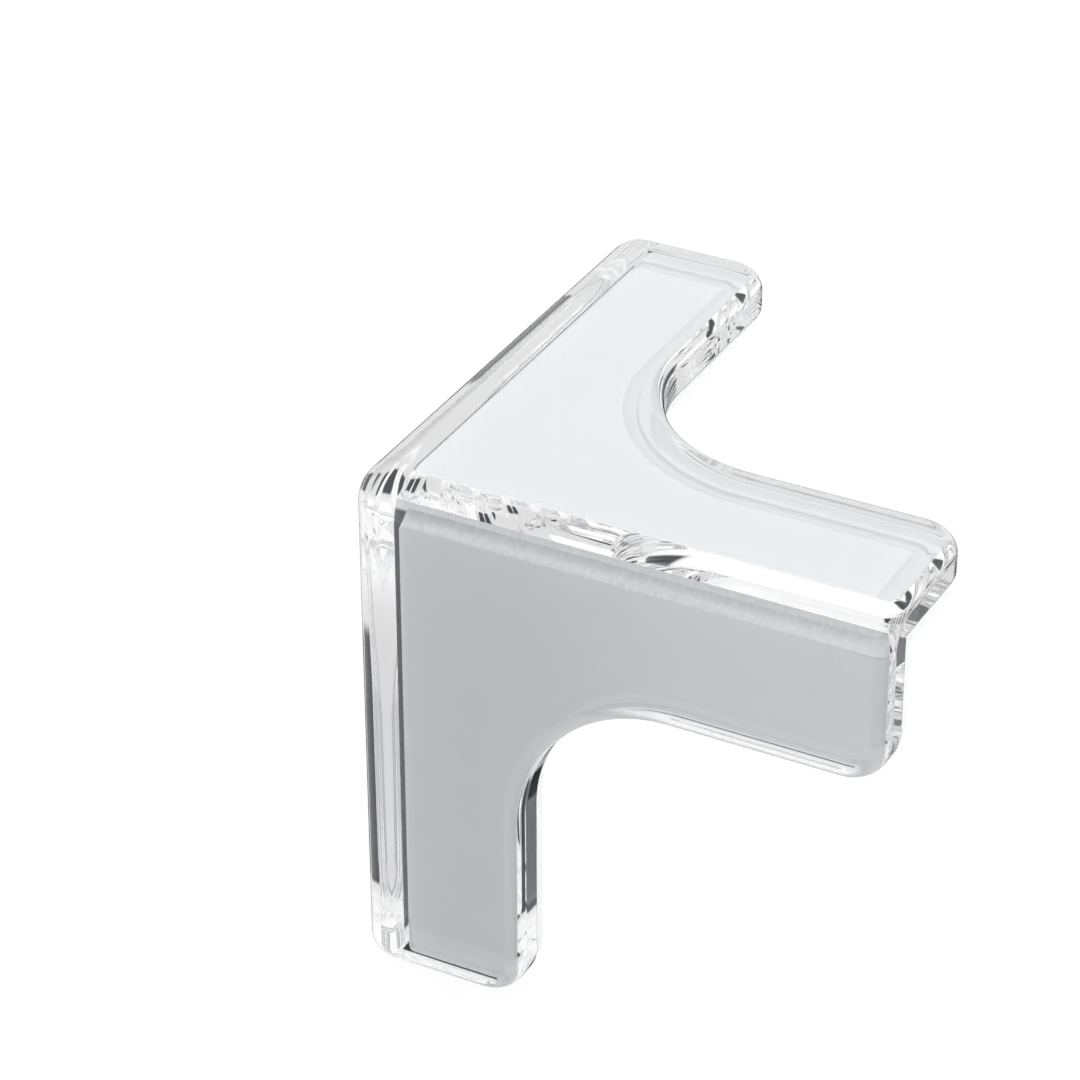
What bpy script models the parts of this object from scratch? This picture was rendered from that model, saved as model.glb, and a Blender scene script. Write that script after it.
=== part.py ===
"""Clear corner protector for furniture, modelled with Blender.

One clear moulded guard has three L-shaped plates, which meet at right angles like the sides of a box corner.
A white adhesive foam pad backs each plate and bonds it to the furniture.

The origin is where the tip of the furniture's own corner sits. The furniture fills x > 0, y > 0 and z < 0,
so its top is z = 0, its front is y = 0 and its side is x = 0. The guard's arms run along +X, +Y and -Z.
"""

from math import cos, pi, radians, sin

import bmesh
import bpy
from mathutils import Vector

# Driving dimensions of the guard, in metres
ARM_LENGTH = 0.0500
ARM_WIDTH = 0.0166
PLATE_THICKNESS = 0.0038
SHARED_EDGE_RADIUS = 0.0038
NOTCH_RADIUS = 0.0139
END_CORNER_RADIUS = 0.0041
FACE_RIM_RADIUS = 0.0015
BACK_RIM_RADIUS = 0.0007

# Driving dimensions of the pads, in metres
PAD_THICKNESS = 0.0008
PAD_RIM_INSET = 0.0003
PAD_CLEARANCE = 0.0003
PAD_NEAR_CORNER_RADIUS = 0.0005
GLUE_LINE = 0.0003

# How far the cutting shapes run past the guard, in metres
CUTTER_OVERRUN = 0.0100

# How finely each round is divided
SHARED_EDGE_SEGMENTS = 10
NOTCH_SEGMENTS = 24
END_CORNER_SEGMENTS = 8
FACE_RIM_SEGMENTS = 4
BACK_RIM_SEGMENTS = 2

# Colours of the moulding and the foam
CLEAR_COLOUR = (0.95, 0.98, 1.0, 1.0)
CLEAR_ROUGHNESS = 0.03
CLEAR_IOR = 1.49
FOAM_COLOUR = (0.84, 0.87, 0.88, 1.0)
FOAM_ROUGHNESS = 0.7

# Worked out from the sizes above
FACE_OFFSET = PAD_THICKNESS + GLUE_LINE + PLATE_THICKNESS
PAD_CORNER_GAP = GLUE_LINE + PAD_THICKNESS + PAD_CLEARANCE
OUTER_CORNER = Vector((-FACE_OFFSET, -FACE_OFFSET, FACE_OFFSET))
INWARD = Vector((1.0, 1.0, -1.0))
SAME_PLACE = 1e-6
SHARP_ANGLE = radians(60)
SMOOTH_ANGLE = radians(40)


def clear_scene():
    """Removes every object, so that the part starts from an empty scene."""
    for obj in list(bpy.data.objects):
        bpy.data.objects.remove(obj, do_unlink=True)


def new_collection(name):
    """Returns a new collection, linked to the scene."""
    collection = bpy.data.collections.new(name)
    bpy.context.scene.collection.children.link(collection)
    return collection


def new_material(name, colour, roughness, transmission=0.0, ior=1.5):
    """Returns a Principled material."""
    material = bpy.data.materials.new(name)
    material.use_nodes = True
    shader = material.node_tree.nodes["Principled BSDF"]
    shader.inputs["Base Color"].default_value = colour
    shader.inputs["Roughness"].default_value = roughness
    shader.inputs["Metallic"].default_value = 0.0
    shader.inputs["Transmission Weight"].default_value = transmission
    shader.inputs["IOR"].default_value = ior
    return material


def depth(point):
    """Returns how far a point lies inside each of the guard's three outer faces."""
    return Vector((point - OUTER_CORNER)[axis] * INWARD[axis] for axis in range(3))


def at_depth(x_depth, y_depth, z_depth):
    """Returns the point that lies that far inside the three outer faces."""
    return OUTER_CORNER + Vector((x_depth, y_depth, z_depth)) * INWARD


def box_between(name, corner, opposite, collection):
    """Makes a box between two points that are given as depths."""
    ends = at_depth(*corner), at_depth(*opposite)
    mesh = bpy.data.meshes.new(name)
    solid = bmesh.new()
    bmesh.ops.create_cube(solid, size=1.0)
    for vertex in solid.verts:
        for axis in range(3):
            low, high = sorted(end[axis] for end in ends)
            vertex.co[axis] = low + (vertex.co[axis] + 0.5) * (high - low)
    solid.to_mesh(mesh)
    solid.free()
    obj = bpy.data.objects.new(name, mesh)
    collection.objects.link(obj)
    return obj


def bevel_edges(obj, chosen, radius, segments):
    """Rounds the edges of a mesh that the test picks out."""
    solid = bmesh.new()
    solid.from_mesh(obj.data)
    solid.normal_update()
    edges = [edge for edge in solid.edges if chosen(edge)]
    bmesh.ops.bevel(
        solid,
        geom=edges,
        offset=radius,
        offset_type="OFFSET",
        segments=segments,
        profile=0.5,
        affect="EDGES",
        clamp_overlap=False,
    )
    solid.to_mesh(obj.data)
    solid.free()


def cut(obj, cutters):
    """Takes the cutters' shapes out of a solid and keeps the result as its mesh."""
    for cutter in cutters:
        cutter.hide_render = True
        cutter.display_type = "WIRE"
        boolean = obj.modifiers.new(cutter.name, "BOOLEAN")
        boolean.operation = "DIFFERENCE"
        boolean.solver = "EXACT"
        boolean.object = cutter
    evaluated = obj.evaluated_get(bpy.context.evaluated_depsgraph_get())
    obj.data = bpy.data.meshes.new_from_object(evaluated)
    obj.modifiers.clear()


def lies_at(edge, depths):
    """Tells whether both ends of an edge lie at the given depths, with None for an axis that is free."""
    return all(
        wanted is None or abs(depth(vertex.co)[axis] - wanted) < SAME_PLACE
        for vertex in edge.verts
        for axis, wanted in enumerate(depths)
    )


def is_shared_edge(edge):
    """Tells whether an edge is one of the three outer edges, where two plates meet."""
    return any(lies_at(edge, depths) for depths in ((0, 0, None), (0, None, 0), (None, 0, 0)))


def is_end_corner(edge):
    """Tells whether an edge runs through a plate at the outer corner of an arm's end."""
    for through in range(3):
        along, across = (axis for axis in range(3) if axis != through)
        for end, side in ((along, across), (across, along)):
            depths = [None, None, None]
            depths[end] = ARM_LENGTH
            depths[side] = ARM_WIDTH
            if lies_at(edge, depths):
                return True
    return False


def is_back_face(face):
    """Tells whether a face is a plate's inner side, which the pads are bonded to."""
    for axis in range(3):
        faces_in = face.normal[axis] * INWARD[axis] > cos(SMOOTH_ANGLE)
        if faces_in and abs(depth(face.calc_center_median())[axis] - PLATE_THICKNESS) < SAME_PLACE:
            return True
    return False


def is_rim(edge, at_back):
    """Tells whether an edge is a sharp outside edge of the plates, on their back or on their front."""
    if len(edge.link_faces) != 2 or edge.calc_face_angle_signed() < SHARP_ANGLE:
        return False
    return at_back == any(is_back_face(face) for face in edge.link_faces)


def build_guard(collection, cutters):
    """Makes the clear moulding: a box corner cut out of a block, with all its edges rounded."""
    past_end = ARM_LENGTH + CUTTER_OVERRUN
    guard = box_between("corner_guard", (0, 0, 0), (ARM_LENGTH,) * 3, collection)
    pocket = box_between("furniture_pocket", (PLATE_THICKNESS,) * 3, (past_end,) * 3, cutters)

    notches = []
    for axis, plate in enumerate(("side", "front", "top")):
        near = [ARM_WIDTH] * 3
        near[axis] = -CUTTER_OVERRUN
        notch = box_between(f"{plate}_notch", near, (past_end,) * 3, cutters)
        inner_edge = [ARM_WIDTH] * 3
        inner_edge[axis] = None
        bevel_edges(notch, lambda edge: lies_at(edge, inner_edge), NOTCH_RADIUS, NOTCH_SEGMENTS)
        notches.append(notch)

    cut(guard, [pocket, *notches])
    bevel_edges(guard, is_shared_edge, SHARED_EDGE_RADIUS, SHARED_EDGE_SEGMENTS)
    bevel_edges(guard, is_end_corner, END_CORNER_RADIUS, END_CORNER_SEGMENTS)
    bevel_edges(guard, lambda edge: is_rim(edge, False), FACE_RIM_RADIUS, FACE_RIM_SEGMENTS)
    bevel_edges(guard, lambda edge: is_rim(edge, True), BACK_RIM_RADIUS, BACK_RIM_SEGMENTS)
    guard.data.shade_smooth()
    guard.data.set_sharp_from_angle(angle=SMOOTH_ANGLE)
    return guard


def arc(centre, radius, start_turn, end_turn, segments):
    """Returns the points of an arc, with its ends given in quarter turns."""
    turns = [start_turn + (end_turn - start_turn) * step / segments for step in range(segments + 1)]
    return [
        (centre[0] + radius * cos(turn * pi / 2), centre[1] + radius * sin(turn * pi / 2))
        for turn in turns
    ]


def pad_outline():
    """Returns a pad's L outline, in depths from the outer corner, just inside the furniture's edges."""
    near = PLATE_THICKNESS + PAD_CORNER_GAP
    width = ARM_WIDTH - PAD_RIM_INSET
    end = ARM_LENGTH - PAD_RIM_INSET
    small = PAD_NEAR_CORNER_RADIUS
    large = END_CORNER_RADIUS - PAD_RIM_INSET
    notch = NOTCH_RADIUS + PAD_RIM_INSET
    return [
        *arc((near + small, near + small), small, 2, 3, END_CORNER_SEGMENTS),
        *arc((end - small, near + small), small, 3, 4, END_CORNER_SEGMENTS),
        *arc((end - large, width - large), large, 0, 1, END_CORNER_SEGMENTS),
        *arc((width + notch, width + notch), notch, 3, 2, NOTCH_SEGMENTS),
        *arc((width - large, end - large), large, 0, 1, END_CORNER_SEGMENTS),
        *arc((near + small, end - small), small, 1, 2, END_CORNER_SEGMENTS),
    ]


def build_pad(name, rotation, thickness_axis, collection):
    """Makes one adhesive pad, cut as an L from sheet foam, between a plate and the furniture."""
    curve = bpy.data.curves.new(name, "CURVE")
    curve.dimensions = "2D"
    curve.fill_mode = "BOTH"
    curve.extrude = PAD_THICKNESS / 2
    outline = pad_outline()
    spline = curve.splines.new("POLY")
    spline.points.add(len(outline) - 1)
    for point, (u, v) in zip(spline.points, outline):
        point.co = (u, v, 0, 1)
    spline.use_cyclic_u = True
    pad = bpy.data.objects.new(name, curve)
    pad.rotation_euler = rotation
    pad.location = OUTER_CORNER
    pad.location[thickness_axis] = -INWARD[thickness_axis] * PAD_THICKNESS / 2
    collection.objects.link(pad)
    return pad


def main():
    """Builds the guard and its three pads."""
    clear_scene()
    protector = new_collection("furniture_corner_protector")
    cutters = new_collection("cutters")
    clear_plastic = new_material(
        "clear_plastic", CLEAR_COLOUR, CLEAR_ROUGHNESS, transmission=1.0, ior=CLEAR_IOR
    )
    white_foam = new_material("white_foam", FOAM_COLOUR, FOAM_ROUGHNESS)

    guard = build_guard(protector, cutters)
    guard.data.materials.append(clear_plastic)

    pads = (
        ("top_pad", (0, 0, 0), 2),
        ("front_pad", (radians(-90), 0, 0), 1),
        ("side_pad", (0, radians(90), 0), 0),
    )
    for name, rotation, thickness_axis in pads:
        pad = build_pad(name, rotation, thickness_axis, protector)
        pad.data.materials.append(white_foam)


main()
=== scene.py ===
"""Looks of a clear corner protector for furniture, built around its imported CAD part.

A clear moulded guard covers the corner of a table or a shelf, and a white foam pad bonds each of its three
plates to the furniture. The origin is the tip of the furniture's own corner, and the arms run along +X, +Y
and -Z. Everything is in metres.
"""

import logging
from dataclasses import dataclass, field
from enum import Enum
from math import cos, pi, radians, sin
from typing import Callable, Iterable

import bmesh
import bpy
from mathutils import Matrix, Vector


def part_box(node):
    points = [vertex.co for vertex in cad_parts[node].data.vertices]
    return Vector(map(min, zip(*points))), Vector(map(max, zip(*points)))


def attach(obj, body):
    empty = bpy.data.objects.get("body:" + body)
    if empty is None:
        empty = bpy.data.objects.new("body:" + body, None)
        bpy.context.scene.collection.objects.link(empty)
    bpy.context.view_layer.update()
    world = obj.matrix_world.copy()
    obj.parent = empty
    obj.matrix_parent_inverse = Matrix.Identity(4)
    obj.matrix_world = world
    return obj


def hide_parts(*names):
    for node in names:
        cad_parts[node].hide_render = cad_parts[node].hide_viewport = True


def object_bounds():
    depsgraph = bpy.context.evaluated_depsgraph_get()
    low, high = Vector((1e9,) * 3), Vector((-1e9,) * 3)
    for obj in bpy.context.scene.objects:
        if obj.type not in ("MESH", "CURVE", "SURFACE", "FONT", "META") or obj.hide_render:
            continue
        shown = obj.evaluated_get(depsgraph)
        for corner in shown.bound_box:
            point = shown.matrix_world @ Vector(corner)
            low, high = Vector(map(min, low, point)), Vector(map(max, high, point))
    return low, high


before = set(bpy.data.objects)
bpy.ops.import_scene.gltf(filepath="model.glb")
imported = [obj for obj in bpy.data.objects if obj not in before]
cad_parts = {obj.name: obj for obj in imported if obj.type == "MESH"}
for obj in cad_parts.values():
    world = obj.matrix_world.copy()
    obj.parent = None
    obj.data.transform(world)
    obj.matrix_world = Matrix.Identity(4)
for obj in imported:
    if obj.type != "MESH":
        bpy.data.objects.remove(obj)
CAD_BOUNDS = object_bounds()

MM = 0.001
GUARD_NODE = "corner_guard"
ROOT_BODY = "root"
INWARD = Vector((1.0, 1.0, -1.0))
SAME_PLACE = 1e-6
MERGE_DISTANCE = 1e-7
SHARP_TURN = radians(60)
FLAT_FACE_WEIGHT = 100

# Attributes of the pads' meshes, which the foam's material reads
CUT_EDGE = "cut_edge"
BARE_FACE = "bare_face"
# Mask of the painted light along each pad's rim
RIM_LIGHT_SHARE = "rim_light_share"

# Light Path's Diffuse Depth stays under this until the light has scattered off something matt
BEFORE_SCATTERING = 0.5

Colour = tuple[float, float, float, float]
Socket = bpy.types.NodeSocket
Tree = bpy.types.NodeTree
log = logging.getLogger("corner_protector")


class Plate(Enum):
    """The guard's plates, each with the axis that it is square to."""

    SIDE = 0
    FRONT = 1
    TOP = 2

    @property
    def pad_node(self) -> str:
        """Returns the CAD node of the pad on this plate."""
        return f"{self.name.lower()}_pad"


def linear(hex_colour: str) -> Colour:
    """Turns a colour written as sRGB hex into the linear colour that shaders take.

    Args:
        hex_colour: The colour, such as "F4F4F2".

    Returns:
        The linear red, green, blue and alpha.
    """
    parts = [int(hex_colour[start : start + 2], 16) / 255 for start in (0, 2, 4)]
    red, green, blue = (c / 12.92 if c <= 0.04045 else ((c + 0.055) / 1.055) ** 2.4 for c in parts)
    return (red, green, blue, 1.0)


def add_node(tree: Tree, kind: str, **settings: object) -> bpy.types.Node:
    """Adds a node with its settings, its plain values and its links.

    Args:
        tree: The node tree that it goes into.
        kind: The node's Blender type.
        **settings: Properties of the node by name, and under "inputs" a dict from a socket's name or
            number to its value, or to another node's output, which is linked to it.

    Returns:
        The new node.
    """
    node = tree.nodes.new(kind)
    inputs = settings.pop("inputs", {})
    for name, value in settings.items():
        setattr(node, name, value)
    for socket, value in inputs.items():
        if isinstance(value, Socket):
            tree.links.new(value, node.inputs[socket])
        else:
            node.inputs[socket].default_value = value
    return node


def new_tree(owner: bpy.types.Material | bpy.types.World) -> Tree:
    """Empties the node tree of a material or a world.

    Args:
        owner: The material or the world.

    Returns:
        Its node tree, without any node.
    """
    owner.use_nodes = True
    owner.node_tree.nodes.clear()
    return owner.node_tree


def link_mesh(name: str, solid: bmesh.types.BMesh) -> bpy.types.Object:
    """Makes an object of a mesh under construction.

    Args:
        name: The object's name.
        solid: The mesh under construction, which is freed.

    Returns:
        The new object, in the scene.
    """
    mesh = bpy.data.meshes.new(name)
    solid.to_mesh(mesh)
    solid.free()
    obj = bpy.data.objects.new(name, mesh)
    bpy.context.scene.collection.objects.link(obj)
    return obj


def keep_faces_flat(obj: bpy.types.Object) -> None:
    """Shades a mesh smooth, but keeps its flat faces flat right up to their rounds.

    Args:
        obj: The object.
    """
    obj.data.shade_smooth()
    weighted = obj.modifiers.new("flat faces stay flat", "WEIGHTED_NORMAL")
    weighted.weight = FLAT_FACE_WEIGHT
    weighted.keep_sharp = True


def arc(
    centre: tuple[float, float], radius: float, start: float, end: float, steps: int
) -> list[tuple[float, float]]:
    """Works out the points of an arc.

    Args:
        centre: The arc's centre.
        radius: The arc's radius.
        start: Where it starts, in quarter turns.
        end: Where it ends, in quarter turns.
        steps: How many steps it takes.

    Returns:
        The points from its start to its end.
    """
    turns = [(start + (end - start) * step / steps) * pi / 2 for step in range(steps + 1)]
    return [(centre[0] + radius * cos(turn), centre[1] + radius * sin(turn)) for turn in turns]


@dataclass(frozen=True)
class MouldedAcrylic:
    """PMMA, injection moulded in a polished tool and left as it comes out of it."""

    name: str = "moulded_acrylic_clear"
    tint: str = "FEFEFF"
    through_tint: str = "F6F8F8"
    ior: float = 1.49
    roughness: float = 0.0
    wave_length: float = 7.0 * MM
    wave_height: float = 0.006 * MM

    def material(self) -> bpy.types.Material:
        """Builds the material.

        Returns:
            The material.
        """
        made = bpy.data.materials.new(self.name)
        tree = new_tree(made)
        # The melt freezes unevenly as it fills the tool, so waves some 7 mm long bend what is seen in it
        place = add_node(tree, "ShaderNodeTexCoord").outputs["Object"]
        flow = add_node(
            tree,
            "ShaderNodeTexNoise",
            inputs={"Vector": place, "Scale": 1 / self.wave_length, "Detail": 1.0},
        )
        waves = add_node(
            tree,
            "ShaderNodeBump",
            inputs={"Strength": 1.0, "Distance": self.wave_height, "Height": flow.outputs["Fac"]},
        )
        clear = add_node(
            tree,
            "ShaderNodeBsdfPrincipled",
            inputs={
                "Base Color": linear(self.tint),
                "Roughness": self.roughness,
                "IOR": self.ior,
                "Transmission Weight": 1.0,
                "Normal": waves.outputs[0],
            },
        )
        # Light goes straight on to the foam, as it does through a thin plate, so the foam stays bright
        straight = add_node(
            tree, "ShaderNodeBsdfTransparent", inputs={"Color": linear(self.through_tint)}
        )
        path = add_node(tree, "ShaderNodeLightPath")
        mix = add_node(
            tree,
            "ShaderNodeMixShader",
            inputs={0: path.outputs["Is Shadow Ray"], 1: clear.outputs[0], 2: straight.outputs[0]},
        )
        add_node(tree, "ShaderNodeOutputMaterial", inputs={"Surface": mix.outputs[0]})
        return made


@dataclass(frozen=True)
class DieCutFoam:
    """White closed-cell PE foam tape, skived from a block and die cut, with adhesive on both faces."""

    name: str = "die_cut_foam_white"
    colour: str = "EEF0F0"
    pressed_colour: str = "EAECED"
    # Painted light along the plate's rim, and also the white of the cut edge
    rim_light_and_cut_colour: str = "FDFEFE"
    # Painted shade in the open pores of the cut edge
    pore_shade_colour: str = "EDEFF0"
    ior: float = 1.5
    film_roughness: float = 0.75
    bare_film_roughness: float = 0.42
    cut_roughness: float = 0.95
    mottle_size: float = 5.0 * MM
    cell_size: float = 0.35 * MM
    cell_relief: float = 0.012 * MM
    cut_relief: float = 0.014 * MM

    def colouring(self, tree: Tree, place: Socket, cut: Socket, cells: Socket) -> Socket:
        """Builds the foam's colour, with painted light along the plate's rim and painted shade in the
        pores of the cut edge.

        Args:
            tree: The material's node tree.
            place: The place on the pad.
            cut: 1 on the cut edge and 0 on the faces.
            cells: How far it is from the nearest cell's middle.

        Returns:
            The colour.
        """
        # Where the sheet was pressed on harder the glue wets it more, so its white is uneven over 5 mm
        mottle = add_node(
            tree,
            "ShaderNodeTexNoise",
            inputs={"Vector": place, "Scale": 1 / self.mottle_size, "Detail": 3.0},
        )
        # Painted light: the plastic's rounded rim keeps more light off the foam's edge than it does in the
        # photograph, so the foam is painted whiter along the rim in place of that light
        rim = add_node(tree, "ShaderNodeAttribute", attribute_name=RIM_LIGHT_SHARE)
        colour: Colour | Socket = linear(self.pressed_colour)
        # The die opens the cells along the cut, so the edge is pitted, and its pores are painted darker as
        # painted shade
        pitted = add_node(
            tree,
            "ShaderNodeMix",
            data_type="RGBA",
            inputs={0: cells, 6: linear(self.rim_light_and_cut_colour), 7: linear(self.pore_shade_colour)},
        ).outputs[2]
        for share, over in (
            (mottle.outputs["Fac"], linear(self.colour)),
            (rim.outputs["Fac"], linear(self.rim_light_and_cut_colour)),
            (cut, pitted),
        ):
            colour = add_node(
                tree, "ShaderNodeMix", data_type="RGBA", inputs={0: share, 6: colour, 7: over}
            ).outputs[2]
        return colour

    def material(self) -> bpy.types.Material:
        """Builds the material.

        Returns:
            The material.
        """
        made = bpy.data.materials.new(self.name)
        tree = new_tree(made)
        place = add_node(tree, "ShaderNodeTexCoord").outputs["Object"]
        cut = add_node(tree, "ShaderNodeAttribute", attribute_name=CUT_EDGE).outputs["Fac"]
        bare = add_node(tree, "ShaderNodeAttribute", attribute_name=BARE_FACE).outputs["Fac"]
        # The skin over the closed cells is drawn tight, so the faces have a faint grain of 0.35 mm cells
        cells = add_node(
            tree,
            "ShaderNodeTexVoronoi",
            feature="F1",
            inputs={"Vector": place, "Scale": 1 / self.cell_size},
        ).outputs["Distance"]
        relief = add_node(
            tree,
            "ShaderNodeMix",
            data_type="FLOAT",
            inputs={0: cut, 2: self.cell_relief, 3: self.cut_relief},
        )
        bump = add_node(
            tree,
            "ShaderNodeBump",
            invert=True,
            inputs={"Strength": 1.0, "Distance": relief.outputs[0], "Height": cells},
        )
        # The glue film is dull where the plate lies on it, has a soft sheen where it waits for the
        # furniture, and is missing on the cut edge
        roughness: float | Socket = self.film_roughness
        for share, over in ((bare, self.bare_film_roughness), (cut, self.cut_roughness)):
            roughness = add_node(
                tree, "ShaderNodeMix", data_type="FLOAT", inputs={0: share, 2: roughness, 3: over}
            ).outputs[0]
        foam = add_node(
            tree,
            "ShaderNodeBsdfPrincipled",
            inputs={
                "Base Color": self.colouring(tree, place, cut, cells),
                "Roughness": roughness,
                "IOR": self.ior,
                "Normal": bump.outputs[0],
            },
        )
        add_node(tree, "ShaderNodeOutputMaterial", inputs={"Surface": foam.outputs[0]})
        return made


@dataclass(frozen=True)
class MattPaper:
    """Uncoated white studio paper, which looks plain white and takes only a faint shadow."""

    name: str = "paper_matt_white"
    colour: str = "F4F4F4"
    glow_strength: float = 1.03
    glow_share: float = 0.88

    def material(self) -> bpy.types.Material:
        """Builds the material.

        Returns:
            The material.
        """
        made = bpy.data.materials.new(self.name)
        tree = new_tree(made)
        paper = add_node(tree, "ShaderNodeBsdfDiffuse", inputs={"Color": linear(self.colour)})
        glow = add_node(tree, "ShaderNodeEmission", inputs={"Strength": self.glow_strength})
        # Only what the camera sees is evened out to white. Light that has scattered meets plain paper.
        path = add_node(tree, "ShaderNodeLightPath")
        seen = add_node(
            tree,
            "ShaderNodeMath",
            operation="LESS_THAN",
            inputs={0: path.outputs["Diffuse Depth"], 1: BEFORE_SCATTERING},
        )
        share = add_node(
            tree,
            "ShaderNodeMath",
            operation="MULTIPLY",
            inputs={0: seen.outputs[0], 1: self.glow_share},
        )
        mix = add_node(
            tree,
            "ShaderNodeMixShader",
            inputs={0: share.outputs[0], 1: paper.outputs[0], 2: glow.outputs[0]},
        )
        add_node(tree, "ShaderNodeOutputMaterial", inputs={"Surface": mix.outputs[0]})
        return made


@dataclass
class ClearGuard:
    """The clear moulding: three plates that meet like the sides of a box corner."""

    finish: MouldedAcrylic
    plate_thickness: float = 3.8 * MM
    arm_width: float = 16.6 * MM
    shared_edge_radius: float = 3.8 * MM
    notch_radius: float = 13.9 * MM
    end_corner_radius: float = 4.1 * MM
    face_rim_radius: float = 1.5 * MM
    back_rim_radius: float = 0.7 * MM
    cutter_overrun: float = 10.0 * MM
    shared_edge_steps: int = 32
    notch_steps: int = 72
    end_corner_steps: int = 20
    face_rim_steps: int = 12
    back_rim_steps: int = 6
    outer_corner: Vector = field(init=False)
    arm_length: float = field(init=False)

    def __post_init__(self) -> None:
        """Takes the outer corner and the arms' length from the CAD node."""
        low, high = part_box(GUARD_NODE)
        self.outer_corner = Vector((low.x, low.y, high.z))
        self.arm_length = high.x - low.x

    def depth(self, point: Vector) -> Vector:
        """Returns how far a point lies inside each of the three outer faces."""
        return Vector((point - self.outer_corner)[axis] * INWARD[axis] for axis in range(3))

    def at_depth(self, depths: Iterable[float]) -> Vector:
        """Returns the point that lies that far inside the three outer faces."""
        return self.outer_corner + Vector(depths) * INWARD

    def block(self, name: str, near: Iterable[float], far: Iterable[float]) -> bpy.types.Object:
        """Makes a block between two points.

        Args:
            name: The block's name.
            near: One corner, as depths.
            far: The opposite corner, as depths.

        Returns:
            The block.
        """
        ends = self.at_depth(near), self.at_depth(far)
        solid = bmesh.new()
        bmesh.ops.create_cube(solid, size=1.0)
        for vertex in solid.verts:
            for axis in range(3):
                low, high = sorted(end[axis] for end in ends)
                vertex.co[axis] = low + (vertex.co[axis] + 0.5) * (high - low)
        return link_mesh(name, solid)

    def lies_at(self, edge: bmesh.types.BMEdge, depths: Iterable[float | None]) -> bool:
        """Tells whether both ends of an edge lie at some depths.

        Args:
            edge: The edge.
            depths: The depth along each axis, with None where it is free.

        Returns:
            True if both of its ends lie there.
        """
        wanted_depths = list(depths)
        return all(
            wanted is None or abs(self.depth(vertex.co)[axis] - wanted) < SAME_PLACE
            for vertex in edge.verts
            for axis, wanted in enumerate(wanted_depths)
        )

    def is_shared_edge(self, edge: bmesh.types.BMEdge) -> bool:
        """Tells whether an edge is an outer one where two plates meet."""
        return any(self.lies_at(edge, depths) for depths in ((0, 0, None), (0, None, 0), (None, 0, 0)))

    def is_end_corner(self, edge: bmesh.types.BMEdge) -> bool:
        """Tells whether an edge runs through a plate at the outer corner of an arm's end.

        Args:
            edge: The edge.

        Returns:
            True if it does.
        """
        for through in range(3):
            along, across = (axis for axis in range(3) if axis != through)
            for end, side in ((along, across), (across, along)):
                depths: list[float | None] = [None, None, None]
                depths[end] = self.arm_length
                depths[side] = self.arm_width
                if self.lies_at(edge, depths):
                    return True
        return False

    def is_back_face(self, face: bmesh.types.BMFace) -> bool:
        """Tells whether a face is a plate's inner side.

        Args:
            face: The face.

        Returns:
            True if it is.
        """
        centre = self.depth(face.calc_center_median())
        return any(
            face.normal[axis] * INWARD[axis] > cos(SHARP_TURN)
            and abs(centre[axis] - self.plate_thickness) < SAME_PLACE
            for axis in range(3)
        )

    def is_rim(self, edge: bmesh.types.BMEdge, at_back: bool) -> bool:
        """Tells whether an edge is a sharp outside edge of the plates.

        Args:
            edge: The edge.
            at_back: Whether it has to lie on the plates' back.

        Returns:
            True if it is one.
        """
        if len(edge.link_faces) != 2 or edge.calc_face_angle_signed() < SHARP_TURN:
            return False
        return at_back == any(self.is_back_face(face) for face in edge.link_faces)

    @staticmethod
    def round_edges(
        obj: bpy.types.Object, chosen: Callable[[bmesh.types.BMEdge], bool], radius: float, steps: int
    ) -> None:
        """Rounds some edges of a mesh.

        Args:
            obj: The object.
            chosen: The test that picks the edges.
            radius: The round's radius.
            steps: How finely the round is divided.
        """
        solid = bmesh.new()
        solid.from_mesh(obj.data)
        solid.normal_update()
        bmesh.ops.bevel(
            solid,
            geom=[edge for edge in solid.edges if chosen(edge)],
            offset=radius,
            offset_type="OFFSET",
            segments=steps,
            profile=0.5,
            affect="EDGES",
            clamp_overlap=False,
        )
        solid.to_mesh(obj.data)
        solid.free()

    def cutters(self) -> list[bpy.types.Object]:
        """Makes the blocks that cut the pocket for the furniture and the notches between the arms.

        Returns:
            The blocks.
        """
        past_end = [self.arm_length + self.cutter_overrun] * 3
        made = [self.block("furniture_pocket", [self.plate_thickness] * 3, past_end)]
        for plate in Plate:
            near = [self.arm_width] * 3
            near[plate.value] = -self.cutter_overrun
            notch = self.block(f"{plate.name.lower()}_notch", near, past_end)
            inner_edge: list[float | None] = [self.arm_width] * 3
            inner_edge[plate.value] = None
            self.round_edges(
                notch,
                lambda edge, at=inner_edge: self.lies_at(edge, at),
                self.notch_radius,
                self.notch_steps,
            )
            made.append(notch)
        return made

    def build(self) -> bpy.types.Object:
        """Builds the moulding with finely divided rounds.

        Returns:
            The guard.
        """
        guard = self.block("clear_guard", [0.0] * 3, [self.arm_length] * 3)
        cutters = self.cutters()
        for cutter in cutters:
            boolean = guard.modifiers.new(cutter.name, "BOOLEAN")
            boolean.operation = "DIFFERENCE"
            boolean.solver = "EXACT"
            boolean.object = cutter
        evaluated = guard.evaluated_get(bpy.context.evaluated_depsgraph_get())
        guard.data = bpy.data.meshes.new_from_object(evaluated)
        guard.modifiers.clear()
        for cutter in cutters:
            bpy.data.objects.remove(cutter)
        for chosen, radius, steps in (
            (self.is_shared_edge, self.shared_edge_radius, self.shared_edge_steps),
            (self.is_end_corner, self.end_corner_radius, self.end_corner_steps),
            (lambda edge: self.is_rim(edge, False), self.face_rim_radius, self.face_rim_steps),
            (lambda edge: self.is_rim(edge, True), self.back_rim_radius, self.back_rim_steps),
        ):
            self.round_edges(guard, chosen, radius, steps)
        keep_faces_flat(guard)
        guard.data.set_sharp_from_angle(angle=SHARP_TURN)
        return guard

    def dress(self, guard: bpy.types.Object) -> None:
        """Gives the guard its finish and ties it to the CAD part.

        Args:
            guard: The guard.
        """
        guard.data.materials.append(self.finish.material())
        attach(guard, ROOT_BODY)
        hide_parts(GUARD_NODE)


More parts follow.
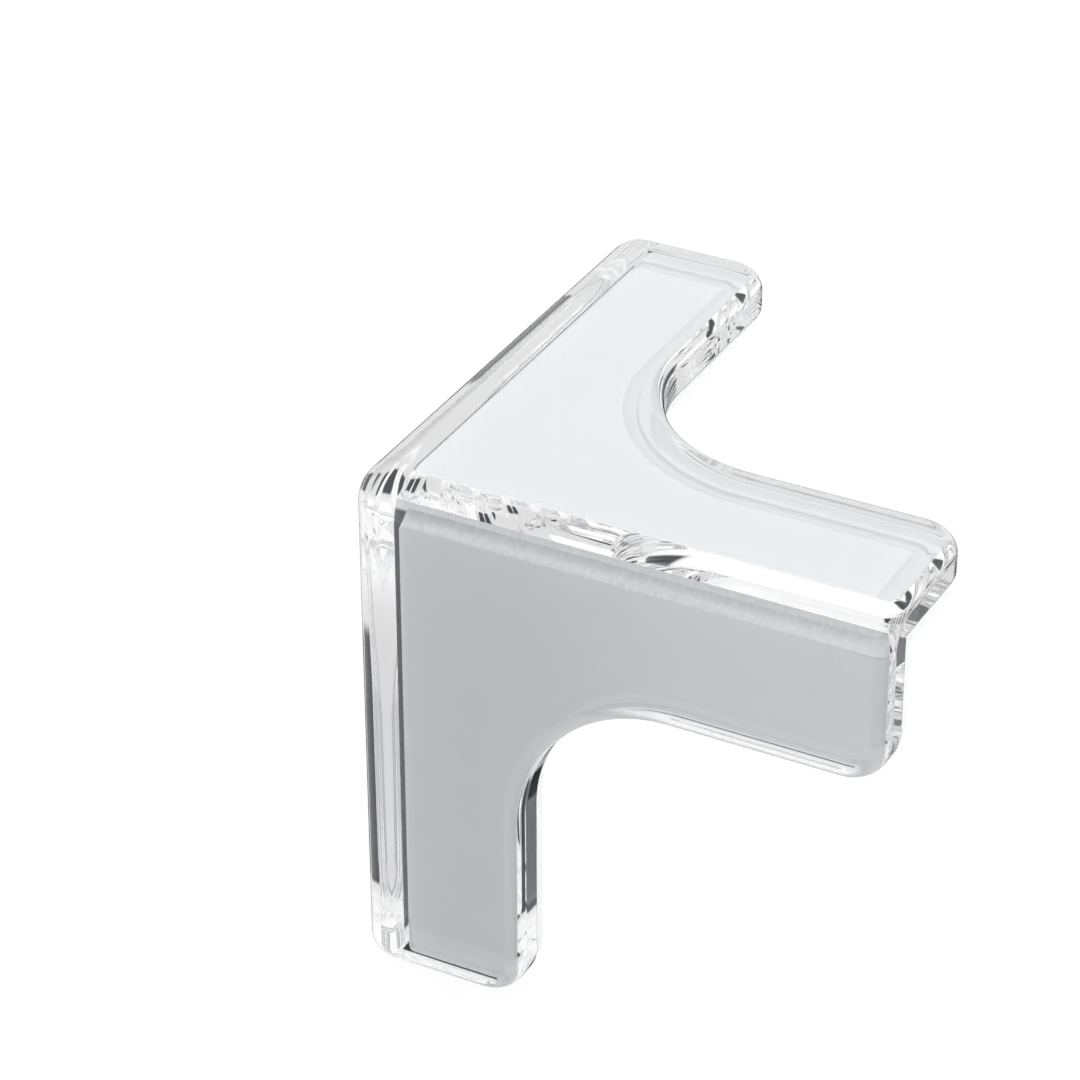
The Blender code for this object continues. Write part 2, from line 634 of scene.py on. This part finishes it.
@dataclass(frozen=True)
class PadRing:
    """One ring of a pad's surface. Insets are from its cut edges, and levels from its face at the plate.

    The near values hold beside the other two plates, where the rings close up into a narrow strip, and the
    rim values hold along the plate's rim.
    """

    near_inset: float
    rim_inset: float
    near_level: float
    rim_level: float
    # How strongly the foam's painted rim light shows on this ring
    rim_light_share: float = 1.0
    is_cut: bool = False


@dataclass
class FoamPad:
    """One die-cut pad: an L of white foam between a plate and the furniture."""

    plate: Plate
    guard: ClearGuard
    material: bpy.types.Material
    rim_inset: float = 0.3 * MM
    side_wall_gap: float = 0.03 * MM
    wall_gap: float = 0.4 * MM
    stack_gap: float = 1.4 * MM
    near_corner_radius: float = 0.5 * MM
    least_corner_radius: float = 0.05 * MM
    edge_radius: float = 0.12 * MM
    top_lip_width: float = 2.0 * MM
    lip_width: float = 0.25 * MM
    lip_slope: float = 0.10 * MM
    groove_width: float = 1.3 * MM
    groove_depth: float = 0.36 * MM
    wall_strip: float = 0.216 * MM
    wall_strip_taper: float = 0.144 * MM
    lip_wall_strip: float = 0.036 * MM
    wall_run_out: float = 4.5 * MM
    film_gap: float = 0.04 * MM
    notch_steps: int = 60
    corner_steps: int = 12
    edge_steps: int = 5
    groove_steps: int = 8

    @property
    def plate_side(self) -> float:
        """Returns how deep the pad's face at the plate lies inside the plate's outer face."""
        return self.guard.plate_thickness + self.film_gap

    @property
    def near_gaps(self) -> tuple[float, float]:
        """Finds the gaps to the other two plates.

        The top pad reaches past the front one, and both reach past the side one.

        Returns:
            The gap along each of the pad's two arms.
        """
        return {
            Plate.TOP: (self.side_wall_gap, self.wall_gap),
            Plate.FRONT: (self.wall_gap, self.stack_gap),
            Plate.SIDE: (self.stack_gap, self.stack_gap),
        }[self.plate]

    def outline(self, near_inset: float, rim_inset: float) -> list[tuple[float, float, bool]]:
        """Works out the pad's L outline.

        Args:
            near_inset: How far it is drawn in from the cut edges beside the other two plates.
            rim_inset: How far it is drawn in from the cut edges along the plate's rim.

        Returns:
            Its points, as depths from the guard's outer corner, each with whether it is on the rim.
        """
        near_u, near_v = (self.guard.plate_thickness + gap + near_inset for gap in self.near_gaps)
        width = self.guard.arm_width - self.rim_inset - rim_inset
        end = self.guard.arm_length - self.rim_inset - rim_inset
        inner = max(self.near_corner_radius - near_inset, self.least_corner_radius)
        small = max(self.near_corner_radius - max(near_inset, rim_inset), self.least_corner_radius)
        large = self.guard.end_corner_radius - self.rim_inset - rim_inset
        notch = self.guard.notch_radius + self.rim_inset + rim_inset
        steps = self.corner_steps
        beside = [
            *arc((near_u + inner, near_v + inner), inner, 2, 3, steps),
            (self.guard.arm_length - self.wall_run_out, near_v),
        ]
        rim = [
            *arc((end - small, near_v + small), small, 3, 4, steps),
            *arc((end - large, width - large), large, 0, 1, steps),
            *arc((width + notch, width + notch), notch, 3, 2, self.notch_steps),
            *arc((width - large, end - large), large, 0, 1, steps),
            *arc((near_u + small, end - small), small, 1, 2, steps),
        ]
        last = (near_u, self.guard.arm_length - self.wall_run_out)
        return [
            *((*point, False) for point in beside),
            *((*point, True) for point in rim),
            (*last, False),
        ]

    def rings(self) -> list[PadRing]:
        """Works out the pad's rings from its face at the plate to its face at the furniture.

        The photograph has a soft line inside the top's rim, which is taken for foam that the die pressed
        down, with a lip that stands up again at the cut. The edges are a little rounded.

        Returns:
            The rings.
        """
        lip = self.top_lip_width if self.plate is Plate.TOP else self.lip_width
        rings = []
        for step in range(self.groove_steps + 1):
            share = step / self.groove_steps
            rings.append(
                PadRing(
                    near_inset=self.edge_radius + self.wall_strip - self.wall_strip_taper * share,
                    rim_inset=lip + self.lip_slope + self.groove_width * (1 - share),
                    near_level=0.0,
                    rim_level=self.groove_depth * share**2,
                    rim_light_share=share,
                )
            )
        rings.append(PadRing(self.edge_radius + self.lip_wall_strip, lip, 0.0, 0.0))
        turns = [step / self.edge_steps * pi / 2 for step in range(self.edge_steps + 1)]
        thickness = abs(self.guard.outer_corner[self.plate.value]) - self.plate_side
        for turn in turns:
            inset, drop = self.edge_radius * (1 - sin(turn)), self.edge_radius * (1 - cos(turn))
            rings.append(PadRing(inset, inset, drop, drop, is_cut=True))
        for turn in reversed(turns):
            inset, drop = self.edge_radius * (1 - sin(turn)), self.edge_radius * (1 - cos(turn))
            rings.append(PadRing(inset, inset, thickness - drop, thickness - drop, is_cut=True))
        return rings

    def build(self) -> bpy.types.Object:
        """Builds the pad out of its rings.

        Returns:
            The pad.
        """
        solid = bmesh.new()
        cut_edge = solid.faces.layers.float.new(CUT_EDGE)
        bare_face = solid.faces.layers.float.new(BARE_FACE)
        rim_light_share = solid.verts.layers.float.new(RIM_LIGHT_SHARE)
        rings = self.rings()
        loops = []
        for ring in rings:
            loop = []
            for u, v, on_rim in self.outline(ring.near_inset, ring.rim_inset):
                depths = [u, v]
                level = ring.rim_level if on_rim else ring.near_level
                depths.insert(self.plate.value, self.plate_side + level)
                vertex = solid.verts.new(self.guard.at_depth(depths))
                # Mask for the painted light that the foam adds along the rim
                vertex[rim_light_share] = ring.rim_light_share if on_rim else 0.0
                loop.append(vertex)
            loops.append(loop)
        for ring, lower, upper in zip(rings, loops, loops[1:]):
            for index in range(len(lower)):
                following = (index + 1) % len(lower)
                face = solid.faces.new((lower[index], lower[following], upper[following], upper[index]))
                face[cut_edge] = float(ring.is_cut)
        solid.faces.new(loops[0])
        solid.faces.new(loops[-1])[bare_face] = 1.0
        bmesh.ops.remove_doubles(solid, verts=solid.verts, dist=MERGE_DISTANCE)
        bmesh.ops.recalc_face_normals(solid, faces=solid.faces)
        pad = link_mesh(f"{self.plate.name.lower()}_foam_pad", solid)
        keep_faces_flat(pad)
        return pad

    def dress(self, pad: bpy.types.Object) -> None:
        """Gives the pad its finish and ties it to the CAD part.

        Args:
            pad: The pad.
        """
        pad.data.materials.append(self.material)
        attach(pad, ROOT_BODY)
        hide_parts(self.plate.pad_node)


@dataclass(frozen=True)
class BlackFlag:
    """A black card in the surroundings. Clear plastic has no colour, so dark cards draw its edges.

    Its half sizes and its softness are slopes, seen from the object, from the direction to its middle.
    """

    azimuth: float
    elevation: float
    half_width: float
    half_height: float
    softness: float = 0.04

    def mask(self, tree: Tree, direction: Socket) -> Socket:
        """Works out where the card stands.

        Args:
            tree: The world's node tree.
            direction: The direction that is looked in.

        Returns:
            A socket that is 1 on the card and 0 off it.
        """
        turned = add_node(
            tree,
            "ShaderNodeVectorRotate",
            rotation_type="EULER_XYZ",
            invert=True,
            inputs={"Vector": direction, "Rotation": (self.elevation, 0.0, -self.azimuth)},
        )
        parts = add_node(tree, "ShaderNodeSeparateXYZ", inputs={0: turned.outputs[0]}).outputs
        mask = add_node(
            tree, "ShaderNodeMath", operation="GREATER_THAN", inputs={0: parts["Y"], 1: 0.0}
        ).outputs[0]
        for axis, half in (("X", self.half_width), ("Z", self.half_height)):
            slope = add_node(
                tree, "ShaderNodeMath", operation="DIVIDE", inputs={0: parts[axis], 1: parts["Y"]}
            )
            off_middle = add_node(
                tree, "ShaderNodeMath", operation="ABSOLUTE", inputs={0: slope.outputs[0]}
            )
            inside = add_node(
                tree,
                "ShaderNodeMapRange",
                interpolation_type="SMOOTHSTEP",
                inputs={
                    0: off_middle.outputs[0],
                    "From Min": half - self.softness,
                    "From Max": half + self.softness,
                    "To Min": 1.0,
                    "To Max": 0.0,
                },
            )
            mask = add_node(
                tree, "ShaderNodeMath", operation="MULTIPLY", inputs={0: mask, 1: inside.outputs[0]}
            ).outputs[0]
        return mask


@dataclass
class Studio:
    """A white sweep, soft light from all round and the photograph's camera."""

    guard: ClearGuard
    paper: MattPaper = MattPaper()
    floor_side: float = 6.0
    floor_drop: float = 0.05 * MM
    eye_from_corner: Vector = field(default_factory=lambda: Vector((153.84, -251.71, 174.21)) * MM)
    azimuth: float = radians(28.210)
    elevation: float = radians(31.580)
    roll: float = radians(-0.297)
    lens_mm: float = 137.14
    sensor_mm: float = 36.0
    clip_start: float = 0.01
    clip_end: float = 100.0
    sky_strength: float = 1.45
    low_strength: float = 0.92
    sky_reach: tuple[float, float] = (-0.15, 0.6)
    front_share: float = 0.9
    front_reach: tuple[float, float] = (-0.8, 0.1)
    seen_high: float = 1.3
    seen_low: float = 0.92
    seen_reach: tuple[float, float] = (-0.35, 0.35)
    flag_colour: str = "15181F"
    flags: tuple[BlackFlag, ...] = (
        BlackFlag(azimuth=radians(-16), elevation=radians(-32), half_width=0.52, half_height=0.30),
        BlackFlag(azimuth=radians(-130), elevation=radians(-40), half_width=0.35, half_height=0.35),
        BlackFlag(azimuth=radians(-57), elevation=radians(22), half_width=0.36, half_height=0.22),
    )
    light_bounces: int = 32

    def camera(self) -> None:
        """Places the camera where the photograph was taken from."""
        lens = bpy.data.cameras.new("camera")
        lens.lens = self.lens_mm
        lens.sensor_width = self.sensor_mm
        lens.clip_start = self.clip_start
        lens.clip_end = self.clip_end
        camera = bpy.data.objects.new("camera", lens)
        bpy.context.scene.collection.objects.link(camera)
        turn = (
            Matrix.Rotation(self.azimuth, 4, "Z")
            @ Matrix.Rotation(pi / 2 - self.elevation, 4, "X")
            @ Matrix.Rotation(self.roll, 4, "Z")
        )
        eye = self.guard.outer_corner + self.eye_from_corner
        camera.matrix_world = Matrix.Translation(eye) @ turn
        bpy.context.scene.camera = camera

    def flagged(self, tree: Tree, direction: Socket, strength: Socket) -> Socket:
        """Sets the black flags into the white backdrop.

        Args:
            tree: The world's node tree.
            direction: The direction that is looked in.
            strength: How bright the backdrop is there.

        Returns:
            The backdrop with its flags.
        """
        mask: float | Socket = 0.0
        for flag in self.flags:
            mask = add_node(
                tree,
                "ShaderNodeMath",
                operation="MAXIMUM",
                inputs={0: mask, 1: flag.mask(tree, direction)},
            ).outputs[0]
        backdrop = add_node(tree, "ShaderNodeBackground", inputs={"Strength": strength})
        black = add_node(
            tree, "ShaderNodeBackground", inputs={"Color": linear(self.flag_colour), "Strength": 1.0}
        )
        return add_node(
            tree, "ShaderNodeMixShader", inputs={0: mask, 1: backdrop.outputs[0], 2: black.outputs[0]}
        ).outputs[0]

    def world(self) -> None:
        """Makes the soft light from all round, and the backdrop that mirrors and clear plastic show."""
        world = bpy.data.worlds.new("studio")
        bpy.context.scene.world = world
        tree = new_tree(world)
        direction = add_node(tree, "ShaderNodeTexCoord").outputs["Generated"]
        parts = add_node(tree, "ShaderNodeSeparateXYZ", inputs={0: direction}).outputs
        overhead, in_front, sweep = (
            add_node(
                tree,
                "ShaderNodeMapRange",
                interpolation_type="SMOOTHSTEP",
                inputs={
                    0: value,
                    "From Min": reach[0],
                    "From Max": reach[1],
                    "To Min": first,
                    "To Max": last,
                },
            ).outputs[0]
            for value, reach, first, last in (
                (parts["Z"], self.sky_reach, self.low_strength, self.sky_strength),
                (parts["Y"], self.front_reach, self.front_share, 1.0),
                (parts["Z"], self.seen_reach, self.seen_low, self.seen_high),
            )
        )
        strength = add_node(
            tree, "ShaderNodeMath", operation="MULTIPLY", inputs={0: overhead, 1: in_front}
        )
        light = add_node(tree, "ShaderNodeBackground", inputs={"Strength": strength.outputs[0]})

        # Mirrored and refracted rays show the backdrop, unless a matt surface has scattered them first
        path = add_node(tree, "ShaderNodeLightPath").outputs
        mirrored = add_node(
            tree,
            "ShaderNodeMath",
            operation="MAXIMUM",
            inputs={0: path["Is Glossy Ray"], 1: path["Is Transmission Ray"]},
        )
        in_view = add_node(
            tree,
            "ShaderNodeMath",
            operation="LESS_THAN",
            inputs={0: path["Diffuse Depth"], 1: BEFORE_SCATTERING},
        )
        shown = add_node(
            tree,
            "ShaderNodeMath",
            operation="MULTIPLY",
            inputs={0: mirrored.outputs[0], 1: in_view.outputs[0]},
        )
        around = add_node(
            tree,
            "ShaderNodeMixShader",
            inputs={0: shown.outputs[0], 1: light.outputs[0], 2: self.flagged(tree, direction, sweep)},
        )
        white = add_node(
            tree, "ShaderNodeBackground", inputs={"Color": linear("FFFFFF"), "Strength": 1.0}
        )
        mix = add_node(
            tree,
            "ShaderNodeMixShader",
            inputs={0: path["Is Camera Ray"], 1: around.outputs[0], 2: white.outputs[0]},
        )
        add_node(tree, "ShaderNodeOutputWorld", inputs={"Surface": mix.outputs[0]})

    def floor(self) -> None:
        """Lays the white paper that the guard stands on."""
        solid = bmesh.new()
        bmesh.ops.create_grid(solid, x_segments=1, y_segments=1, size=self.floor_side / 2)
        floor = link_mesh("paper_sweep", solid)
        floor.location.z = CAD_BOUNDS[0].z - self.floor_drop
        floor.data.materials.append(self.paper.material())
        floor.visible_glossy = False
        floor.visible_transmission = False

    def build(self) -> None:
        """Sets up the floor, the light and the camera."""
        self.floor()
        self.world()
        self.camera()
        bpy.context.scene.view_settings.view_transform = "Standard"
        # Light that is caught between the plates' faces turns back many times before it leaves
        cycles = bpy.context.scene.cycles
        cycles.max_bounces = cycles.glossy_bounces = cycles.transmission_bounces = self.light_bounces


def main() -> None:
    """Builds the guard, its pads and the studio."""
    logging.basicConfig(level=logging.INFO, format="%(message)s")
    guard = ClearGuard(finish=MouldedAcrylic())
    shell = guard.build()
    guard.dress(shell)
    log.info("%s: %d faces", shell.name, len(shell.data.polygons))
    foam = DieCutFoam().material()
    for plate in Plate:
        pad = FoamPad(plate=plate, guard=guard, material=foam)
        made = pad.build()
        pad.dress(made)
        log.info("%s: %d faces", made.name, len(made.data.polygons))
    Studio(guard=guard).build()


if __name__ == "__main__":
    main()
